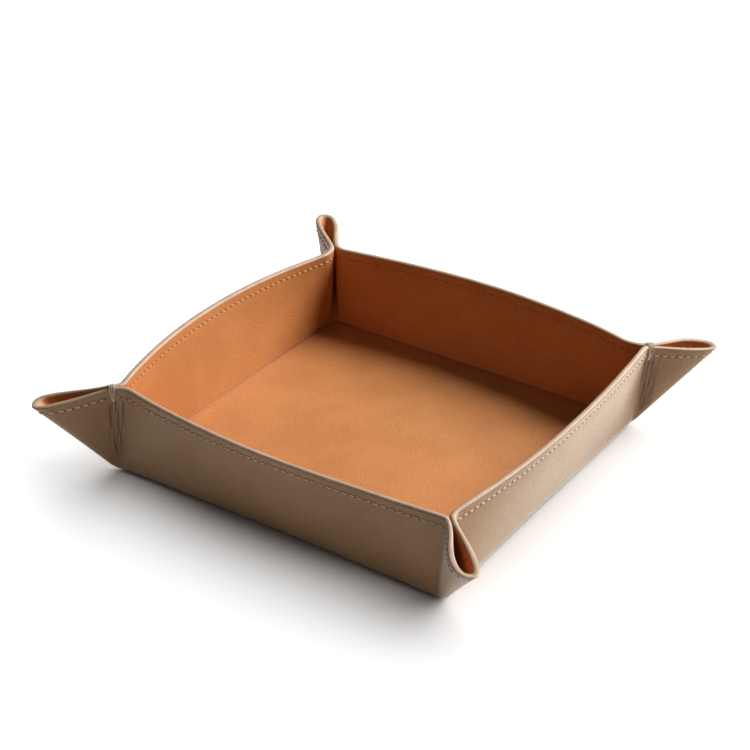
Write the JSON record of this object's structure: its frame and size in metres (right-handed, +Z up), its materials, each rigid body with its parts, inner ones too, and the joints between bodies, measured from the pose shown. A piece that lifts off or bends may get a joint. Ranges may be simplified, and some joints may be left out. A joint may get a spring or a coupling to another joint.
{
  "type": "valet tray",
  "caption": "Square desk tray folded from a sheet of two-tone leather, with a stitched rim, bowed walls and pinched corners whose spare leather stands out as pointed ears.",
  "frame": {"origin": "middle of the tray's underside, on the surface that it stands on", "axes": "+Z up out of the tray; -Y is the front wall, +X the right wall; the ears point along the diagonals"},
  "size_m": [0.2156, 0.2156, 0.0426],
  "materials": {
    "taupe_leather": "matt smooth grain",
    "tan_leather": "satin fine pebble grain",
    "board": "bonded leather-fibre board, matt",
    "cream_thread": "waxed polyester thread",
    "tan_thread": "waxed polyester thread"
  },
  "bodies": {
    "root": {"outer_leather": "taupe_leather", "lining_leather": "tan_leather", "base_board": "board", "wall_board_front": "board", "wall_board_right": "board", "wall_board_back": "board", "wall_board_left": "board", "needle_thread": "cream_thread", "bobbin_thread": "tan_thread", "corner_tack_front_left": "cream_thread", "corner_tack_back_right": "cream_thread", "blind_tack_front_right": "tan_thread", "blind_tack_back_left": "tan_thread"}
  },
  "joints": []
}
